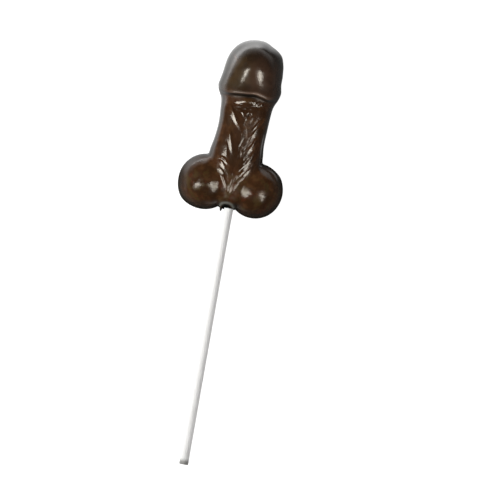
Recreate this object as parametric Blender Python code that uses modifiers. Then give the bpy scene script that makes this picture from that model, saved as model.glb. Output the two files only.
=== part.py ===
"""Moulded novelty chocolate lollipop on a rolled paper stick, lying on its flat back.

The chocolate is one casting from a one-sided mould: two round lobes at its lower end, a folded shaft above them and a
smooth rounded head over a raised rim. The stick is set into its lower end. Lengths are in metres. +Y runs up the stick
to the chocolate's tip, +X is to the right of someone who faces the moulded front, and +Z is up, out of that front.
Everything is modelled with y = 0 where the stick enters the chocolate, under an empty that puts the middle of the whole
at the origin.
"""

import math

import bmesh
import bpy
import numpy as np
from mathutils import Matrix, Vector

MM = 0.001

# The stick is a 6 inch paper one, and its thickness sets the scale of everything else
STICK_LENGTH = 152.4 * MM
STICK_RADIUS = 2.1 * MM
STICK_SHOWN = 114.9 * MM
STICK_X = 1.0 * MM
STICK_Z = 4.5 * MM
STICK_SIDES = 40
STICK_EDGE = 0.25 * MM
STICK_GAP = 0.1 * MM

# Main sizes of the chocolate
TIP_Y = 76.5 * MM
WALL = 1.0 * MM
LEFT_LOBE_PLACE = (-11.2 * MM, 10.5 * MM, 0.0)
RIGHT_LOBE_PLACE = (11.35 * MM, 10.2 * MM, 0.0)
LOBE_RADII = (12.25 * MM, 12.4 * MM, 10.8 * MM)
WEB_PLACE = (0.3 * MM, 5.8 * MM, 0.0)
WEB_RADII = (8.0 * MM, 6.2 * MM, 9.3 * MM)
COLLAR_X = 0.6 * MM
COLLAR_RADII = (2.6 * MM, 6.0 * MM)
COLLAR_FOOT_Y = 0.4 * MM
COLLAR_DEPTH = 6.0 * MM
FLASH_X = -2.4 * MM
FLASH_RADII = (0.35 * MM, 1.6 * MM)
FLASH_TIP_Y = -1.3 * MM
TRUNK_FOOT_Y = 1.5 * MM
TRUNK_FOOT_ROUND = 5.5 * MM
DOME_Y = 61.5 * MM
DOME_POWERS = (2.2, 2.0)
CREASE_Y = 50.1

# (y, middle x, half width, height above the wall) in mm and the squareness of the section, along the trunk,
# before the dome closes it
TRUNK_STATIONS = (
    (0.0, 0.1, 12.0, 7.8, 2.3),
    (8.0, 0.1, 12.2, 9.6, 2.4),
    (14.0, 0.1, 12.2, 10.2, 2.7),
    (20.0, 0.1, 12.2, 10.45, 3.1),
    (25.0, 0.15, 11.95, 10.6, 3.3),
    (30.0, 0.4, 11.25, 10.7, 3.7),
    (37.0, 0.9, 11.0, 10.8, 3.9),
    (44.0, 0.95, 11.35, 10.95, 3.6),
    (47.5, 1.0, 11.7, 11.1, 2.8),
    (49.2, 1.1, 12.2, 11.2, 2.5),
    (50.1, 1.1, 12.75, 11.35, 2.4),
    (50.7, 1.1, 13.1, 11.9, 2.4),
    (51.3, 1.05, 13.45, 12.8, 2.4),
    (51.8, 1.0, 13.7, 13.05, 2.4),
    (52.6, 1.0, 13.95, 13.03, 2.4),
    (54.0, 1.0, 14.15, 12.9, 2.4),
    (56.0, 1.05, 13.85, 12.94, 2.4),
    (58.5, 1.1, 13.45, 13.25, 2.3),
    (61.0, 1.3, 13.3, 13.65, 2.15),
    (66.0, 1.5, 13.2, 14.4, 1.9),
    (76.5, 1.6, 13.0, 14.6, 2.0),
)

# The folds of the shaft, in mm: crest from (x, y) at the outer end to (x, y) at the seam, sideways bow, width of the
# outer flank and height
FOLDS = (
    (-3.2, 44.4, 2.0, 38.0, 1.9, 0.70, 0.08),
    (-0.3, 43.5, 1.7, 40.4, 0.0, 0.60, 0.16),
    (-6.3, 45.6, 1.1, 34.4, -0.2, 1.20, 0.58),
    (-4.6, 35.0, -0.6, 23.2, -0.2, 1.20, 0.55),
    (-5.0, 29.0, -2.9, 22.0, -0.2, 0.80, 0.12),
    (-6.6, 22.5, -2.2, 19.5, 0.2, 0.75, 0.38),
    (-6.3, 20.9, -3.4, 17.6, 0.1, 0.80, 0.36),
    (-6.0, 17.5, -2.2, 13.4, 0.0, 0.60, 0.12),
    (-4.3, 14.6, -0.1, 6.8, 0.2, 0.72, 0.38),
    (9.8, 41.6, 5.0, 33.2, 0.1, 0.80, 0.36),
    (8.2, 41.4, 4.6, 35.4, 0.1, 0.55, 0.22),
    (7.6, 33.8, 4.5, 26.0, 0.3, 0.75, 0.38),
    (8.4, 29.8, 5.6, 23.4, 0.2, 0.65, 0.24),
    (7.9, 27.0, 5.4, 20.9, 0.2, 0.75, 0.34),
    (9.4, 24.9, 5.4, 17.1, 0.4, 0.70, 0.22),
    (8.4, 20.5, 3.8, 14.6, 0.2, 0.60, 0.18),
    (4.8, 15.2, 2.6, 12.8, 0.1, 0.60, 0.28),
    (2.7, 12.3, 0.6, 7.2, -0.1, 0.62, 0.32),
    (0.4, 16.2, 0.1, 11.8, 0.0, 0.50, 0.15),
    (1.9, 15.8, 1.4, 12.6, 0.1, 0.50, 0.12),
    (2.4, 26.9, 4.8, 17.1, 0.2, 0.80, 0.14),
    (1.0, 24.7, 2.6, 15.2, 0.2, 0.65, 0.05),
    (2.9, 29.2, 3.1, 24.6, 0.1, 0.60, 0.22),
    (2.2, 38.0, 1.5, 34.6, 0.1, 0.55, 0.18),
    (4.2, 33.4, 3.3, 28.1, 0.0, 0.55, 0.18),
    (1.3, 34.4, 1.6, 30.4, 0.1, 0.60, 0.12),
    (4.2, 42.2, 3.4, 38.4, 0.0, 0.60, 0.24),
    (2.6, 48.9, 4.2, 46.8, 0.1, 0.50, 0.16),
    (4.0, 49.0, 5.8, 46.6, 0.1, 0.50, 0.16),
    (8.2, 48.9, 6.0, 46.6, 0.1, 0.50, 0.16),
    (6.4, 49.1, 4.6, 47.0, 0.1, 0.45, 0.14),
    (7.2, 48.4, 8.4, 46.4, 0.1, 0.45, 0.12),
)

# Where the head is a little fuller or flatter than a true dome: direction from its centre in degrees from +X, half
# width of the place in degrees, and how far out it stands in mm
DOME_CENTRE = (1.3, 61.5)
DOME_UNEVEN = (
    (10.0, 9.0, -0.22),
    (39.0, 9.0, 0.34),
    (64.0, 11.0, -0.52),
    (109.0, 12.0, -0.18),
    (170.0, 14.0, -0.16),
)

# The same for the two lobes
LEFT_LOBE_UNEVEN = ((222.0, 26.0, 0.62),)
RIGHT_LOBE_UNEVEN = ((35.0, 14.0, 0.24), (340.0, 20.0, -0.08))

# How finely the chocolate is made
VOXEL = 0.5 * MM
EDGE_PASSES = 6
FRONT_PASSES = 34
FRONT_TRIANGLES = 9000


def purge_objects():
    for found in list(bpy.data.objects):
        bpy.data.objects.remove(found, do_unlink=True)


def collection_named(name):
    made = bpy.data.collections.new(name)
    bpy.context.scene.collection.children.link(made)
    return made


def finish_of(name, colour, roughness):
    made = bpy.data.materials.new(name)
    made.use_nodes = True
    shader = made.node_tree.nodes["Principled BSDF"]
    shader.inputs["Base Color"].default_value = (*colour, 1.0)
    shader.inputs["Roughness"].default_value = roughness
    shader.inputs["Metallic"].default_value = 0.0
    return made


def object_of(shape, name, home):
    """A mesh object made from a bmesh, which is freed."""
    bmesh.ops.recalc_face_normals(shape, faces=shape.faces)
    mesh = bpy.data.meshes.new(name)
    shape.to_mesh(mesh)
    shape.free()
    made = bpy.data.objects.new(name, mesh)
    home.objects.link(made)
    return made


def baked(source, name):
    """The source's mesh with its modifiers applied, and the source removed."""
    bpy.context.view_layer.update()
    graph = bpy.context.evaluated_depsgraph_get()
    mesh = bpy.data.meshes.new_from_object(source.evaluated_get(graph))
    mesh.name = name
    bpy.data.objects.remove(source, do_unlink=True)
    return mesh


def through(stations, y, column):
    """A smooth line through one column of the stations, read at y. Both are in mm."""
    ys = [station[0] for station in stations]
    values = [station[column] for station in stations]
    y = min(max(y, ys[0]), ys[-1])
    i = min(max(j for j in range(len(ys)) if ys[j] <= y), len(ys) - 2)
    slopes = [
        (values[min(j + 1, len(ys) - 1)] - values[max(j - 1, 0)])
        / (ys[min(j + 1, len(ys) - 1)] - ys[max(j - 1, 0)])
        for j in (i, i + 1)
    ]
    step = ys[i + 1] - ys[i]
    t = (y - ys[i]) / step
    return (
        (2 * t**3 - 3 * t**2 + 1) * values[i]
        + (t**3 - 2 * t**2 + t) * step * slopes[0]
        + (3 * t**2 - 2 * t**3) * values[i + 1]
        + (t**3 - t**2) * step * slopes[1]
    )


def trunk_section(y):
    """Middle, half width, height above the wall and squareness at y, closed by a blunt foot and a dome."""
    middle, half_width, height = (through(TRUNK_STATIONS, y / MM, column) * MM for column in (1, 2, 3))
    foot = min(1.0, (y - TRUNK_FOOT_Y) / TRUNK_FOOT_ROUND)
    half_width *= (1 - (1 - foot) ** 2) ** (1 / 2)
    height *= (1 - (1 - foot) ** 2) ** (1 / 2)
    if y > DOME_Y:
        share = min(1.0, (y - DOME_Y) / (TIP_Y - DOME_Y))
        half_width *= (1 - share ** DOME_POWERS[0]) ** (1 / DOME_POWERS[0])
        height *= (1 - share ** DOME_POWERS[1]) ** (1 / DOME_POWERS[1])
    return middle, half_width, height, through(TRUNK_STATIONS, y / MM, 4)


def rim_shift(x):
    """How far up the trunk the head's rim lies at x against its middle, in mm: it arches and then rises at the sides."""
    arch = 2.6 * ((x - 1.0) / 13.0) ** 4 - 0.014 * (x - 2.5) ** 2 - 0.03 * x
    return arch + 0.4 * bump(x, 4.0, 2.5) - 0.5 * bump(x, 10.0, 2.0)


def signed_power(value, power):
    return math.copysign(abs(value) ** power, value)


def bump(value, centre, half_width):
    return np.exp(-(((value - centre) / half_width) ** 2))


def outward(around, uneven):
    """How far a form stands out in the direction around, in mm, from a list of its uneven places."""
    turned = [(around - direction + 180) % 360 - 180 for direction, _, _ in uneven]
    return sum(height * bump(turn, 0.0, half_width) for turn, (_, half_width, height) in zip(turned, uneven))


def trunk_form():
    """Shaft and head: a unit sphere whose rows are spread along Y and drawn out to each section."""
    shape = bmesh.new()
    bmesh.ops.create_uvsphere(shape, u_segments=64, v_segments=140, radius=1.0)
    for vert in shape.verts:
        share = 0.5 + math.asin(max(-1.0, min(1.0, vert.co.z))) / math.pi
        y = TRUNK_FOOT_Y + share * (TIP_Y - TRUNK_FOOT_Y)
        angle = math.atan2(vert.co.y, vert.co.x)
        middle, half_width, height, squareness = trunk_section(y)
        x = middle + half_width * signed_power(math.cos(angle), 2 / squareness)
        y += rim_shift(x / MM) * MM * bump(y / MM, CREASE_Y + 1.5, 4.5)
        around = math.atan2(y / MM - DOME_CENTRE[1], x / MM - DOME_CENTRE[0])
        out = outward(math.degrees(around), DOME_UNEVEN) * MM if y > DOME_Y - 4 * MM else 0.0
        out *= (math.hypot(x / MM - DOME_CENTRE[0], y / MM - DOME_CENTRE[1]) / 14.0) ** 2
        vert.co = Vector(
            (
                x + out * math.cos(around),
                y + out * math.sin(around),
                height * signed_power(math.sin(angle), 2 / squareness),
            )
        )
    return shape


def round_form(place, radii, uneven=()):
    """An ellipsoid: a lobe, or the web that fills the hollow between the two lobes round the stick."""
    shape = bmesh.new()
    bmesh.ops.create_uvsphere(shape, u_segments=64, v_segments=48, radius=1.0)
    bmesh.ops.scale(shape, vec=radii, verts=shape.verts)
    for vert in shape.verts:
        around = math.degrees(math.atan2(vert.co.y, vert.co.x))
        vert.co.xy *= 1 + outward(around, uneven) * MM / radii[0]
    bmesh.ops.translate(shape, vec=place, verts=shape.verts)
    return shape


def cone_form(place_x, foot_y, depth, foot_radius, top_radius):
    """A cone or cylinder at the height of the stick, from foot_y up the stick by its depth."""
    shape = bmesh.new()
    bmesh.ops.create_cone(
        shape, cap_ends=True, segments=32, radius1=top_radius, radius2=foot_radius, depth=depth
    )
    bmesh.ops.rotate(
        shape, cent=(0, 0, 0), matrix=Matrix.Rotation(math.radians(90), 4, "X"), verts=shape.verts
    )
    bmesh.ops.translate(shape, vec=(place_x, foot_y + depth / 2, STICK_Z - WALL), verts=shape.verts)
    return shape


def fold_height(x, y, fold):
    """What one fold adds: a ridge on a bowed line with a gentle outer flank, a steep inner one and a shallow groove on
    each side. It rises quickly at its outer end and runs out slowly towards the seam."""
    x0, y0, x1, y1, bow, half_width, height = fold
    run = np.array([x1 - x0, y1 - y0])
    length = np.linalg.norm(run)
    along, aside = run / length, np.array([-run[1], run[0]]) / length
    t = np.clip(((x - x0) * along[0] + (y - y0) * along[1]) / length, 0, 1)
    offset = bow * 4 * t * (1 - t)
    centre_x = x0 + t * run[0] + offset * aside[0]
    centre_y = y0 + t * run[1] + offset * aside[1]
    away = np.hypot(x - centre_x, y - centre_y)
    outer = -math.copysign(1.0, run[0]) * ((x - centre_x) * aside[0] + (y - centre_y) * aside[1])
    width = half_width * (0.78 + 0.22 * outer / np.maximum(away, 0.001))
    across = np.exp(-((away / width) ** 2)) - 0.25 * np.exp(-((away / half_width / 2.0) ** 2))
    start = np.clip(t / 0.2, 0, 1)
    return height * across * (0.1 + start * (2 - start) * (1 - t**1.3))


def seam_x(y):
    """Where the wavy crease in the middle of the shaft lies."""
    return 0.1 + 2.2 * np.clip((y - 14.0) / 18.0, 0, 1) + 0.4 * np.sin(y * 0.62)


def rim_height(x, y):
    """The crease under the head's rim and the soft rolls below it."""
    crease = -0.22 * bump(y, CREASE_Y + 0.4 + rim_shift(x), 0.55)
    rolls = 0.62 * bump(y, 48.2 + 0.08 * x, 1.6) * bump(x, 1.2, 3.1) - 0.15 * bump(y, 46.5, 0.6) * bump(x, 1.0, 7.5)
    lower_roll = 0.12 * bump(y, 45.6, 0.6) * bump(x, -0.2, 2.2)
    return crease + rolls + lower_roll


def seam_height(x, y):
    """The wavy crease that the folds run into, from under the rim to the lower end."""
    seam_ends = np.clip((y - 5.0) / 3.0, 0, 1) * np.clip((43.5 - y) / 2.0, 0, 1)
    return -0.24 * bump(x, seam_x(y), 0.60) * seam_ends


def hollow_height(x, y):
    """The two small pits under the rim, right of the arched fold, and the shallow hollow where the stick enters."""
    upper_pit = -0.28 * np.exp(-(((x - 1.6) / 1.6) ** 2) - ((y - 44.6) / 0.9) ** 2)
    lower_pit = -0.70 * np.exp(-(((x - 3.0) / 0.7) ** 2) - ((y - 42.2) / 0.8) ** 2)
    recess = -0.25 * bump(x, -0.7, 1.6) * bump(y, 1.2, 0.6)
    return upper_pit + lower_pit + recess


def relief(x, y):
    """Height that the folds add to the front, in metres, from x and y in metres."""
    x, y = x / MM, y / MM
    added = rim_height(x, y) + seam_height(x, y) + hollow_height(x, y)
    for fold in FOLDS:
        added = added + fold_height(x, y, fold)
    return added * MM


def ramp(values, start, end):
    """0 before start and 1 after end, with a straight line between."""
    return np.clip((values - start) / (end - start), 0, 1)


def relax(mesh, passes, weigh):
    """Rounds the mesh by moving each point towards its neighbours, as far as weigh says for the points."""
    count = len(mesh.vertices)
    points = np.empty(count * 3)
    ends = np.empty(len(mesh.edges) * 2, dtype=int)
    mesh.vertices.foreach_get("co", points)
    mesh.edges.foreach_get("vertices", ends)
    points, ends = points.reshape(-1, 3), ends.reshape(-1, 2)
    neighbours = np.bincount(ends.ravel(), minlength=count)
    share = 0.5 * weigh(points / MM)[:, None]
    for _ in range(passes):
        middle = np.stack(
            [
                np.bincount(ends[:, 0], points[ends[:, 1], axis], count)
                + np.bincount(ends[:, 1], points[ends[:, 0], axis], count)
                for axis in range(3)
            ],
            axis=1,
        )
        points += share * (middle / neighbours[:, None] - points)
    mesh.vertices.foreach_set("co", points.ravel())
    mesh.update()


def raise_relief(mesh):
    """Moves the front's points along their normals by the relief, and leaves the sides alone."""
    count = len(mesh.vertices)
    points = np.empty(count * 3)
    normals = np.empty(count * 3)
    mesh.vertices.foreach_get("co", points)
    mesh.vertices.foreach_get("normal", normals)
    points, normals = points.reshape(-1, 3), normals.reshape(-1, 3)
    front = np.clip((points[:, 2] - 1.5 * MM) / (3.5 * MM), 0, 1)
    points += normals * (relief(points[:, 0], points[:, 1]) * front)[:, None]
    mesh.vertices.foreach_set("co", points.ravel())
    mesh.update()


def front_half(mesh):
    """The half above z = 0, open underneath."""
    shape = bmesh.new()
    shape.from_mesh(mesh)
    everything = shape.verts[:] + shape.edges[:] + shape.faces[:]
    bmesh.ops.bisect_plane(
        shape, geom=everything, plane_co=(0, 0, 0), plane_no=(0, 0, 1), clear_inner=True
    )
    return shape


def walled(mesh):
    """The open half lifted by the wall, its rim drawn straight down to the back and closed there."""
    shape = bmesh.new()
    shape.from_mesh(mesh)
    rim = [edge for edge in shape.edges if edge.is_boundary]
    for vert in {vert for edge in rim for vert in edge.verts}:
        vert.co.z = 0.0
    bmesh.ops.translate(shape, vec=(0, 0, WALL), verts=shape.verts)
    drawn = bmesh.ops.extrude_edge_only(shape, edges=rim)["geom"]
    for vert in drawn:
        if isinstance(vert, bmesh.types.BMVert):
            vert.co.z = 0.0
    back = [edge for edge in drawn if isinstance(edge, bmesh.types.BMEdge)]
    bmesh.ops.holes_fill(shape, edges=back, sides=0)
    bmesh.ops.triangulate(shape, faces=shape.faces, ngon_method="BEAUTY")
    return shape


def chocolate(home, cutters, parent):
    """The casting: its forms fused, filleted, folded, cut flat at the back and bored for the stick."""
    whole = bmesh.new()
    for form in (
        trunk_form(),
        round_form(LEFT_LOBE_PLACE, LOBE_RADII, LEFT_LOBE_UNEVEN),
        round_form(RIGHT_LOBE_PLACE, LOBE_RADII, RIGHT_LOBE_UNEVEN),
        round_form(WEB_PLACE, WEB_RADII),
        cone_form(COLLAR_X, COLLAR_FOOT_Y, COLLAR_DEPTH, *COLLAR_RADII),
        cone_form(FLASH_X, FLASH_TIP_Y, COLLAR_DEPTH, *FLASH_RADII),
    ):
        piece = bpy.data.meshes.new("form")
        bmesh.ops.recalc_face_normals(form, faces=form.faces)
        form.to_mesh(piece)
        form.free()
        whole.from_mesh(piece)
        bpy.data.meshes.remove(piece)
    rough = object_of(whole, "rough", home)
    fuse = rough.modifiers.new("Fuse", "REMESH")
    fuse.mode = "VOXEL"
    fuse.voxel_size = VOXEL
    fused = baked(rough, "fused")
    relax(fused, EDGE_PASSES, lambda points: ramp(points[:, 1], 1, 4))
    relax(
        fused,
        FRONT_PASSES,
        lambda points: ramp(np.abs(points[:, 2]), 3, 7) * ramp(points[:, 1], 2, 6) * ramp(-points[:, 1], -32, -25),
    )
    raise_relief(fused)

    front = front_half(fused)
    count = sum(len(face.verts) - 2 for face in front.faces)
    dense = object_of(front, "dense", home)
    thin = dense.modifiers.new("Thin", "DECIMATE")
    thin.ratio = FRONT_TRIANGLES / count
    made = object_of(walled(baked(dense, "thinned")), "chocolate", home)

    bpy.ops.mesh.primitive_cylinder_add(
        vertices=STICK_SIDES,
        radius=STICK_RADIUS + STICK_GAP,
        depth=STICK_LENGTH + 2 * STICK_GAP,
        rotation=(math.radians(90), 0, 0),
    )
    bore = bpy.context.active_object
    bore.name = "bore_cutter"
    for holder in list(bore.users_collection):
        holder.objects.unlink(bore)
    cutters.objects.link(bore)
    bore.location = (STICK_X, STICK_LENGTH / 2 - STICK_SHOWN, STICK_Z)
    bore.display_type = "WIRE"
    bore.hide_render = True
    bore.parent = parent
    cut = made.modifiers.new("Stick bore", "BOOLEAN")
    cut.operation = "DIFFERENCE"
    cut.solver = "EXACT"
    cut.object = bore

    made.data.materials.append(finish_of("dark_chocolate", (0.022, 0.010, 0.006), 0.22))
    made.parent = parent
    return made


def stick(home, parent):
    """Rolled paper stick, cut square with its edges just broken."""
    bpy.ops.mesh.primitive_cylinder_add(
        vertices=STICK_SIDES,
        radius=STICK_RADIUS,
        depth=STICK_LENGTH,
        rotation=(math.radians(90), 0, 0),
    )
    made = bpy.context.active_object
    made.name = "stick"
    for holder in list(made.users_collection):
        holder.objects.unlink(made)
    home.objects.link(made)
    made.location = (STICK_X, STICK_LENGTH / 2 - STICK_SHOWN, STICK_Z)
    edge = made.modifiers.new("Broken edges", "BEVEL")
    edge.width = STICK_EDGE
    edge.segments = 2
    edge.limit_method = "ANGLE"
    made.data.materials.append(finish_of("white_paper", (0.86, 0.86, 0.84), 0.6))
    made.data.shade_smooth()
    made.data.set_sharp_from_angle(angle=math.radians(40))
    made.parent = parent
    return made


purge_objects()
parts = collection_named("chocolate_lollipop")
helpers = collection_named("cutters")
middle = bpy.data.objects.new("lollipop", None)
parts.objects.link(middle)
middle.location = (0, (STICK_SHOWN - TIP_Y) / 2, 0)
chocolate(parts, helpers, middle)
stick(parts, middle)
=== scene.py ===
"""A moulded novelty chocolate lollipop on a rolled paper stick, on its flat back on a white light table.

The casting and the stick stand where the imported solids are, with finer folds and their finishes. +Y runs up
the stick to the chocolate's tip, +X is to the right of someone who faces the moulded front, and +Z is up, out
of that front.
"""

import math
import random

import bmesh
import bpy
import numpy as np
from mathutils import Matrix, Vector


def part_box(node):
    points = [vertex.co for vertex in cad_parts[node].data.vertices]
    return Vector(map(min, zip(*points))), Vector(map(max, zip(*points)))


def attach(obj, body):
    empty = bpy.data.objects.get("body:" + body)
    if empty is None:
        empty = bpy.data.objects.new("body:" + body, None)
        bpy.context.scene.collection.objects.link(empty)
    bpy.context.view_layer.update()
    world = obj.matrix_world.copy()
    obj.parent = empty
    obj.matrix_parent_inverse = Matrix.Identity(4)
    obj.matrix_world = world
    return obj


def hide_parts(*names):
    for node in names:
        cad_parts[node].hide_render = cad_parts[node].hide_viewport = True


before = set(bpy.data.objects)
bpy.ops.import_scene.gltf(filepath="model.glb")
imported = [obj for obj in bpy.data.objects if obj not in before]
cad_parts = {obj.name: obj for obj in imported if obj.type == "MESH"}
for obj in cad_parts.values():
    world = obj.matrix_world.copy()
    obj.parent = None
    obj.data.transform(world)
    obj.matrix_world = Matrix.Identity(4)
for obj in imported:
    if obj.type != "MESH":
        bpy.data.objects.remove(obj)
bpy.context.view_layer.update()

# The view: a long lens straight above the lollipop, turned so that the stick leans as it does in the
# photograph.
camera_height = 1.5
view_middle = (0.00838, 0.00665)
view_width = 0.2136
view_turn = 10.0
sensor_width = 36.0
camera_data = bpy.data.cameras.new("camera")
camera_data.sensor_width = sensor_width
camera_data.lens = sensor_width * camera_height / view_width
camera = bpy.data.objects.new("camera", camera_data)
camera.location = (*view_middle, camera_height)
camera.rotation_euler = (0.0, 0.0, math.radians(view_turn))
bpy.context.scene.collection.objects.link(camera)
bpy.context.scene.camera = camera
bpy.context.scene.view_settings.view_transform = "Standard"


# The light: two softboxes near the lens, mirrored as the two highlights of the head and of each lobe, and a
# wide lamp on either side that nothing mirrors. The table is lit from below. The steep sides mirror the pale
# far side of the room and a pale card that is brightest by the shaft, the head and the right lobe.
shaft_middle = (0.0, 0.03, 0.01)
warm_white, neutral_white = (1.0, 0.95, 0.84), (1.0, 0.995, 0.985)
softbox_size, wide_size = (0.17, 0.28), (0.40, 0.40)


def lamp(name, place, size, radiance, colour, seen_in_gloss=True, lights=True):
    """A rectangular lamp aimed at the shaft's middle. Its radiance is that of its face, whatever its size."""
    light = bpy.data.lights.new(name, "AREA")
    light.shape = "RECTANGLE"
    light.size, light.size_y = size
    light.energy = radiance * math.pi * size[0] * size[1]
    light.color = colour
    made = bpy.data.objects.new(name, light)
    made.location = place
    made.rotation_euler = (Vector(shaft_middle) - Vector(place)).to_track_quat("-Z", "Y").to_euler()
    made.visible_camera = False
    made.visible_glossy = seen_in_gloss
    made.visible_diffuse = lights
    bpy.context.scene.collection.objects.link(made)


lamp("left_softbox", (-0.28, -0.125, 0.52), softbox_size, 20.0, warm_white, lights=False)
lamp("right_softbox", (0.28, -0.125, 0.52), softbox_size, 17.5, warm_white, lights=False)
lamp("wide_left_lamp", (-0.46, 0.10, 0.45), wide_size, 9.4, neutral_white, seen_in_gloss=False)
lamp("wide_right_lamp", (0.46, 0.00, 0.45), wide_size, 1.8, neutral_white, seen_in_gloss=False)


def soft_step(tree, value, start, end, low=0.0, high=1.0):
    """A smooth change from low, where the value is at start, to high, where it is at end."""
    node = tree.nodes.new("ShaderNodeMapRange")
    node.interpolation_type = "SMOOTHSTEP"
    for socket, number in zip(("From Min", "From Max", "To Min", "To Max"), (start, end, low, high)):
        node.inputs[socket].default_value = number
    tree.links.new(value, node.inputs["Value"])
    return node.outputs["Result"]


def calculate(tree, operation, *values):
    """One Math node over values, each a socket or a number."""
    node = tree.nodes.new("ShaderNodeMath")
    node.operation = operation
    for socket, value in zip(node.inputs, values):
        if isinstance(value, (int, float)):
            socket.default_value = value
        else:
            tree.links.new(value, socket)
    return node.outputs["Value"]


def product(tree, first, *others):
    """All the values multiplied, each a socket or a number."""
    for other in others:
        first = calculate(tree, "MULTIPLY", first, other)
    return first


def axes_of(tree, what):
    """X, Y and Z of one of the Texture Coordinate node's outputs."""
    place = tree.nodes.new("ShaderNodeTexCoord")
    split = tree.nodes.new("ShaderNodeSeparateXYZ")
    tree.links.new(place.outputs[what], split.inputs["Vector"])
    return split.outputs["X"], split.outputs["Y"], split.outputs["Z"]


def away_from(tree, place):
    """The distance on the table from a place there."""
    node = tree.nodes.new("ShaderNodeVectorMath")
    node.operation = "DISTANCE"
    tree.links.new(tree.nodes.new("ShaderNodeTexCoord").outputs["Object"], node.inputs[0])
    node.inputs[1].default_value = place
    return node.outputs["Value"]


room_white = (1.0, 1.0, 0.98, 1.0)
room_glow = 0.05
far_side_west = -0.83
surroundings = bpy.data.worlds.new("studio")
bpy.context.scene.world = surroundings
surroundings.use_nodes = True
sky = surroundings.node_tree
east, north, up = axes_of(sky, "Generated")
towards_far_side = calculate(sky, "MULTIPLY_ADD", east, far_side_west, north)
far_side = soft_step(sky, towards_far_side, -0.65, 0.85, low=0.10, high=1.3)
horizon = product(sky, soft_step(sky, up, 0.40, 0.0), soft_step(sky, up, -0.30, 0.0))
background = sky.nodes["Background"]
background.inputs["Color"].default_value = room_white
sky.links.new(calculate(sky, "MULTIPLY_ADD", horizon, far_side, room_glow), background.inputs["Strength"])


def flat_sheet(name, half_size, z, finish):
    """A square sheet that lies flat, with its middle under the origin."""
    shape = bmesh.new()
    bmesh.ops.create_grid(shape, x_segments=1, y_segments=1, size=half_size)
    bmesh.ops.translate(shape, vec=(0.0, 0.0, z), verts=shape.verts)
    mesh = bpy.data.meshes.new(name)
    shape.to_mesh(mesh)
    shape.free()
    mesh.materials.append(finish)
    made = bpy.data.objects.new(name, mesh)
    bpy.context.scene.collection.objects.link(made)
    return made


table_half_size, table_z = 3.0, -0.0003
table_finish = bpy.data.materials.new("white_acrylic")
table_finish.use_nodes = True
table_shader = table_finish.node_tree.nodes["Principled BSDF"]
table_shader.inputs["Base Color"].default_value = (0.30, 0.30, 0.30, 1.0)
table_shader.inputs["Roughness"].default_value = 0.6
table_shader.inputs["Emission Color"].default_value = (1.0, 1.0, 1.0, 1.0)
table_shader.inputs["Emission Strength"].default_value = 0.96
light_table = flat_sheet("light_table", table_half_size, table_z, table_finish)
light_table.visible_glossy = False

card_half_size, card_z = 0.25, -0.0001
card_finish = bpy.data.materials.new("pale_card")
card_finish.use_nodes = True
card = card_finish.node_tree
card.nodes.clear()
card_x, card_y, _ = axes_of(card, "Object")


def card_patch(*fades):
    """A soft-edged patch of the card: each fade is an axis, where it starts and where the patch is full."""
    return product(card, *(soft_step(card, axis, start, full) for axis, start, full in fades))


# The patches beside the shaft and the head grow brighter away from them, and along the shaft to the tip
shaft_patch_x, head_patch_y = -0.010, 0.094
by_shaft = card_patch((card_y, 0.030, 0.048), (card_x, 0.008, -0.010))
by_head = card_patch((card_y, 0.085, 0.100), (card_x, 0.026, -0.002))
west_of_shaft = calculate(card, "SUBTRACT", shaft_patch_x, card_x)
north_of_head = calculate(card, "SUBTRACT", card_y, head_patch_y)
further_out = soft_step(
    card, calculate(card, "MAXIMUM", west_of_shaft, north_of_head), 0.002, 0.035, low=1.15, high=2.4
)
towards_tip = soft_step(card, card_y, 0.078, 0.112, low=0.74, high=2.0)
upper_glow = product(card, calculate(card, "MAXIMUM", by_shaft, by_head), further_out, towards_tip)

# The card is darker round the lobes, a painted shadow of the lobes, apart from a patch that the right lobe's
# shoulder mirrors
lobe_middles = ((-0.0112, 0.0297, 0.0), (0.01135, 0.0294, 0.0))
right_patch_glow = 1.1
by_right_lobe = card_patch(
    (card_x, 0.017, 0.024), (card_x, 0.040, 0.030), (card_y, 0.041, 0.049), (card_y, 0.056, 0.050)
)
left_glow = soft_step(card, card_x, -0.010, -0.040, low=0.12, high=0.38)
lobe_glow = calculate(card, "MAXIMUM", left_glow, product(card, by_right_lobe, right_patch_glow))
# Painted shadow of the lobes: the card dims near each lobe's middle
outside_lobe_shadows = [
    soft_step(card, away_from(card, middle), 0.0125, 0.0250, low=0.1, high=1.0) for middle in lobe_middles
]
lower_glow = product(card, lobe_glow, *outside_lobe_shadows)
glow = card.nodes.new("ShaderNodeEmission")
card.links.new(calculate(card, "ADD", upper_glow, lower_glow), glow.inputs["Strength"])
card.links.new(glow.outputs["Emission"], card.nodes.new("ShaderNodeOutputMaterial").inputs["Surface"])
pale_card = flat_sheet("pale_card", card_half_size, card_z, card_finish)
pale_card.visible_camera = False
pale_card.visible_diffuse = False
pale_card.visible_shadow = False


# The stick: white paper wound tightly into a solid rod and cut square at both ends. Its outer wrap ends in a
# fine step along its whole length, and the cut end shows the spiral of the wraps. The chocolate has set round
# its upper quarter.
def piece_from(shape, name, finish):
    """A mesh object at the origin from a bmesh in row-frame metres, which is freed."""
    mesh = bpy.data.meshes.new(name)
    shape.to_mesh(mesh)
    shape.free()
    mesh.materials.append(finish)
    made = bpy.data.objects.new(name, mesh)
    bpy.context.scene.collection.objects.link(made)
    return made


def noise(tree, place, scale, detail, roughness=0.5):
    """A noise pattern's value at a place."""
    node = tree.nodes.new("ShaderNodeTexNoise")
    node.inputs["Scale"].default_value = scale
    node.inputs["Detail"].default_value = detail
    node.inputs["Roughness"].default_value = roughness
    tree.links.new(place, node.inputs["Vector"])
    return node.outputs["Fac"]


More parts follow.
